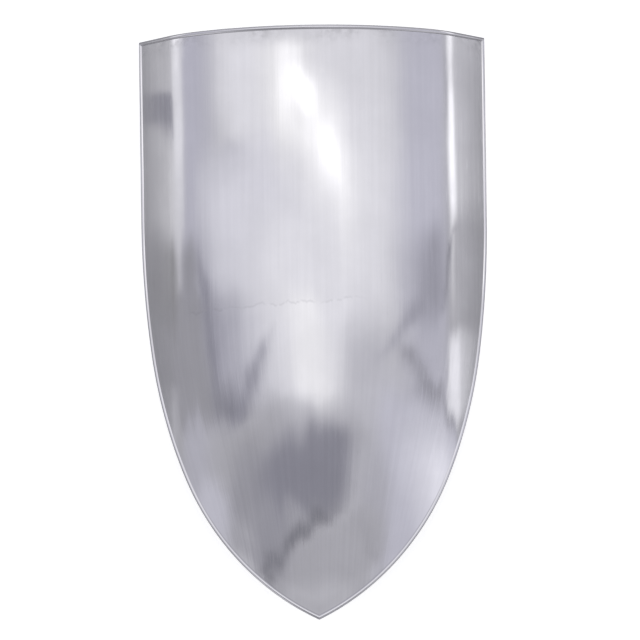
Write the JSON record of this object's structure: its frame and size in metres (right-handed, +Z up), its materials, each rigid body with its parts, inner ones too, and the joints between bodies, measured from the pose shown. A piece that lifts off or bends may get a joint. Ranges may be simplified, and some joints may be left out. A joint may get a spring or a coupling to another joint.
{
  "type": "heater shield",
  "caption": "Sheet-steel heater shield, straight-topped and pointed below, bent round its middle, with a rolled rim and leather forearm and hand straps inside.",
  "frame": {"origin": "bottom centre of the shield's box, on the surface that it lies on face up", "axes": "+Z up through the face, +Y towards the straight top edge with the tip at -Y, +X to the right as seen from above"},
  "size_m": [0.465, 0.7644, 0.1199],
  "materials": {
    "satin_steel": "satin polish with fine streaks from the top edge to the tip",
    "plain_steel": "plain round wire and rivet heads, duller than the plate",
    "brown_leather": "dark brown belt leather with a low sheen"
  },
  "bodies": {
    "root": {"shield_plate": "satin_steel", "forearm_strap": "brown_leather", "forearm_loop_top": "plain_steel", "forearm_loop_bottom": "plain_steel", "forearm_rivet_top_1": "plain_steel", "forearm_rivet_top_2": "plain_steel", "forearm_rivet_bottom_1": "plain_steel", "forearm_rivet_bottom_2": "plain_steel", "hand_strap": "brown_leather", "hand_loop_top": "plain_steel", "hand_loop_bottom": "plain_steel", "hand_rivet_top_1": "plain_steel", "hand_rivet_bottom_1": "plain_steel"}
  },
  "joints": []
}
